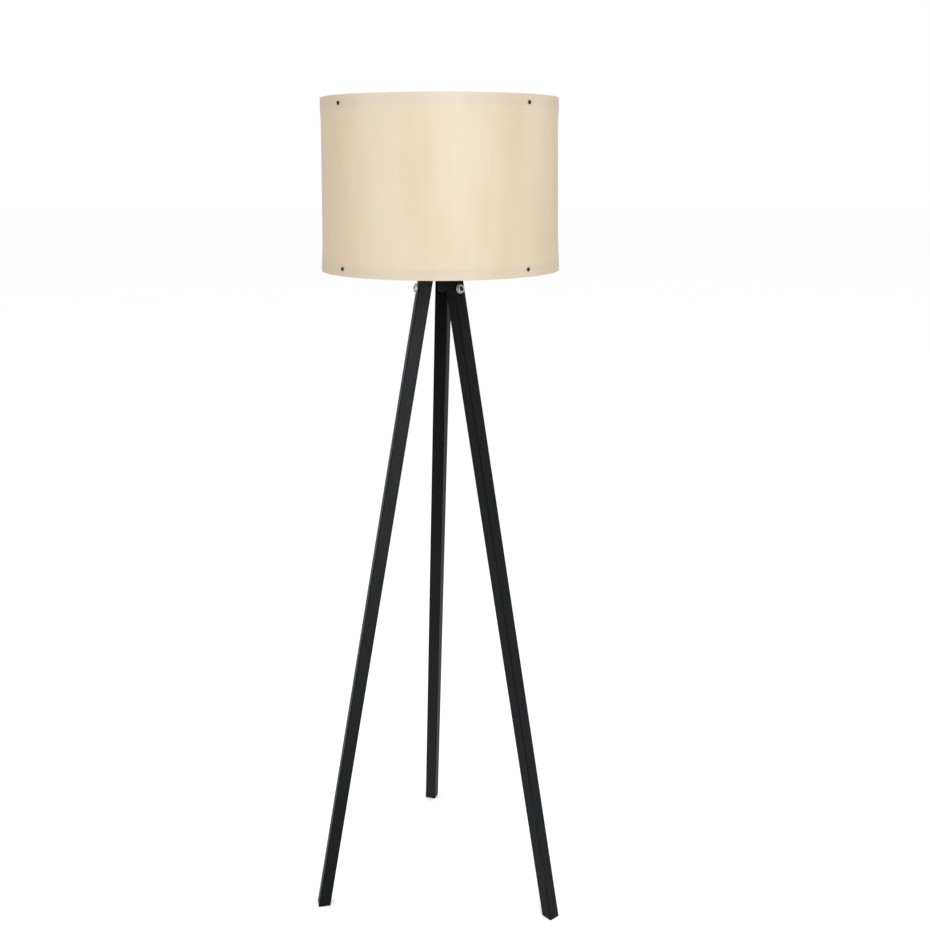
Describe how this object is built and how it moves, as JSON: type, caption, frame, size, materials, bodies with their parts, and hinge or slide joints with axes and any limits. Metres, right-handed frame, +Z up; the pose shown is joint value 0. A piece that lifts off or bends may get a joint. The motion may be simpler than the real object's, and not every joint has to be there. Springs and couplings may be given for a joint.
{
  "type": "tripod floor lamp",
  "caption": "Floor lamp with square splayed wooden legs bolted to a steel hub, a screw lampholder and a translucent drum shade on fibreboard rings.",
  "frame": {"origin": "on the floor, on the vertical axis of the shade, hub and lampholder", "axes": "+Z up; -Y towards the front, where two legs stand; the third leg is behind, towards +Y"},
  "size_m": [0.4507, 0.4825, 1.449],
  "materials": {
    "leg_paint": "square softwood bars, sprayed satin black, the grain just readable",
    "hub_steel": "pressed sheet steel, black powder coat",
    "zinc": "bright zinc-plated steel fasteners",
    "holder_plastic": "moulded black thermoplastic",
    "core_ceramic": "pale moulded insulating block",
    "contact_metal": "stamped brass contacts",
    "spider_steel": "flat steel, white powder coat",
    "screw_black": "black-finished steel screws and studs",
    "shade_film": "translucent cream laminated film, satin",
    "fibreboard": "raw fibreboard with a faint sawn edge",
    "bulb_glass_black": "black vitreous insulator",
    "bulb_metal": "pressed screw cap",
    "bulb_plastic": "white moulded housing",
    "bulb_diffuser": "opal diffuser"
  },
  "bodies": {
    "hub": {"hub_bracket": "hub_steel", "stud_back": "screw_black", "washer_back": "zinc", "nut_back": "zinc", "stud_left": "screw_black", "washer_left": "zinc", "nut_left": "zinc", "stud_right": "screw_black", "washer_right": "zinc", "nut_right": "zinc", "nipple": "zinc", "nipple_nut": "zinc", "nipple_washer": "zinc", "cord_bush": "holder_plastic", "holder_cap": "holder_plastic", "holder_shell": "holder_plastic", "holder_core": "core_ceramic", "holder_sleeve": "contact_metal", "holder_contact": "contact_metal", "terminal_screws": "contact_metal"},
    "leg_back": {"leg_back": "leg_paint"},
    "leg_left": {"leg_left": "leg_paint"},
    "leg_right": {"leg_right": "leg_paint"},
    "shade": {"shade_spider": "spider_steel", "spider_screws": "screw_black", "shade_film": "shade_film", "lower_ring": "fibreboard", "upper_ring": "fibreboard", "lower_shade_screws": "screw_black", "upper_shade_screws": "screw_black"},
    "ring_nut": {"shade_ring_nut": "holder_plastic"},
    "bulb": {"bulb_tip": "contact_metal", "bulb_insulator": "bulb_glass_black", "bulb_cap": "bulb_metal", "bulb_housing": "bulb_plastic", "bulb_globe": "bulb_diffuser"}
  },
  "joints": [
    {"name": "leg_back_swing", "type": "hinge", "parent": "hub", "child": "leg_back", "pos_m": [0.00393, 0.03101, 1.1367], "axis": [0.3054, 0.9343, 0.184], "range_deg": [-8.35, 3.65]},
    {"name": "leg_left_swing", "type": "hinge", "parent": "hub", "child": "leg_left", "pos_m": [-0.02882, -0.0121, 1.1367], "axis": [-0.9618, -0.2027, 0.184], "range_deg": [-5.8, 6.2]},
    {"name": "leg_right_swing", "type": "hinge", "parent": "hub", "child": "leg_right", "pos_m": [0.02489, -0.01891, 1.1367], "axis": [0.6564, -0.7316, 0.184], "range_deg": [-5.05, 6.95]},
    {"name": "shade_turn", "type": "hinge", "parent": "hub", "child": "shade", "pos_m": [0, 0, 1.2], "axis": [0, 0, 1], "range_deg": [-180, 180]},
    {"name": "ring_nut_travel", "type": "slide", "parent": "hub", "child": "ring_nut", "axis": [0, 0, 1], "range_m": [0, 0.006]},
    {"name": "bulb_unscrew", "type": "slide", "parent": "hub", "child": "bulb", "axis": [0, 0, 1], "range_m": [0, 0.024]}
  ]
}
